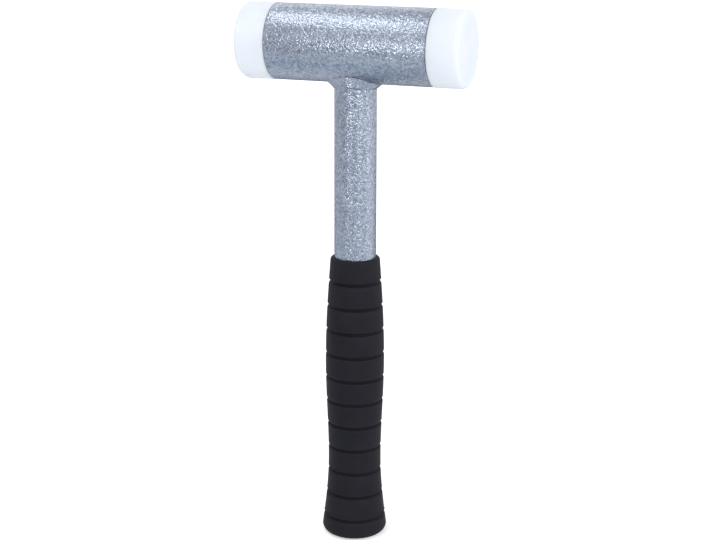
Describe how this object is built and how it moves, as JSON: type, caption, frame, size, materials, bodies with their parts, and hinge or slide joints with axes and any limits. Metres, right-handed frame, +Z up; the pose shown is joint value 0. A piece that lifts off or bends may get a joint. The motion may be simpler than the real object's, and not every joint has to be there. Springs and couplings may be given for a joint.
{
  "type": "dead blow hammer",
  "caption": "Recoil-free soft-face hammer: steel tube head with loose shot inside, pressed-in nylon faces, flared collar, tubular steel handle and grooved rubber grip.",
  "frame": {"origin": "middle of the flat end of the grip, on which the hammer stands", "axes": "+Z up the handle to the head, +X along the head to the right face as pictured, +Y away from the viewer"},
  "size_m": [0.1372, 0.0454, 0.3273],
  "materials": {
    "paint": "silver blue-grey hammertone paint, semi-gloss",
    "nylon": "milky white nylon, smooth satin",
    "rubber": "matt black moulded rubber",
    "steel": "plain bare steel"
  },
  "bodies": {
    "hammer": {"head_housing": "paint", "left_chamber_disc": "steel", "right_chamber_disc": "steel", "neck_collar": "paint", "handle_tube": "paint", "grip": "rubber"},
    "left_face": {"left_face": "nylon"},
    "right_face": {"right_face": "nylon"},
    "shot": {"shot_01": "steel", "shot_02": "steel", "shot_03": "steel", "shot_04": "steel", "shot_05": "steel", "shot_06": "steel", "shot_07": "steel", "shot_08": "steel", "shot_09": "steel", "shot_10": "steel", "shot_11": "steel", "shot_12": "steel", "shot_13": "steel", "shot_14": "steel", "shot_15": "steel", "shot_16": "steel", "shot_17": "steel", "shot_18": "steel", "shot_19": "steel", "shot_20": "steel", "shot_21": "steel", "shot_22": "steel", "shot_23": "steel", "shot_24": "steel", "shot_25": "steel", "shot_26": "steel", "shot_27": "steel", "shot_28": "steel", "shot_29": "steel", "shot_30": "steel", "shot_31": "steel", "shot_32": "steel", "shot_33": "steel", "shot_34": "steel", "shot_35": "steel"}
  },
  "joints": [
    {"name": "shot_slide", "type": "slide", "parent": "hammer", "child": "shot", "axis": [1, 0, 0], "range_m": [-0.0085, 0.0085]},
    {"name": "left_face_pull", "type": "slide", "parent": "hammer", "child": "left_face", "axis": [-1, 0, 0], "range_m": [0, 0.0145]},
    {"name": "right_face_pull", "type": "slide", "parent": "hammer", "child": "right_face", "axis": [1, 0, 0], "range_m": [0, 0.0145]}
  ]
}
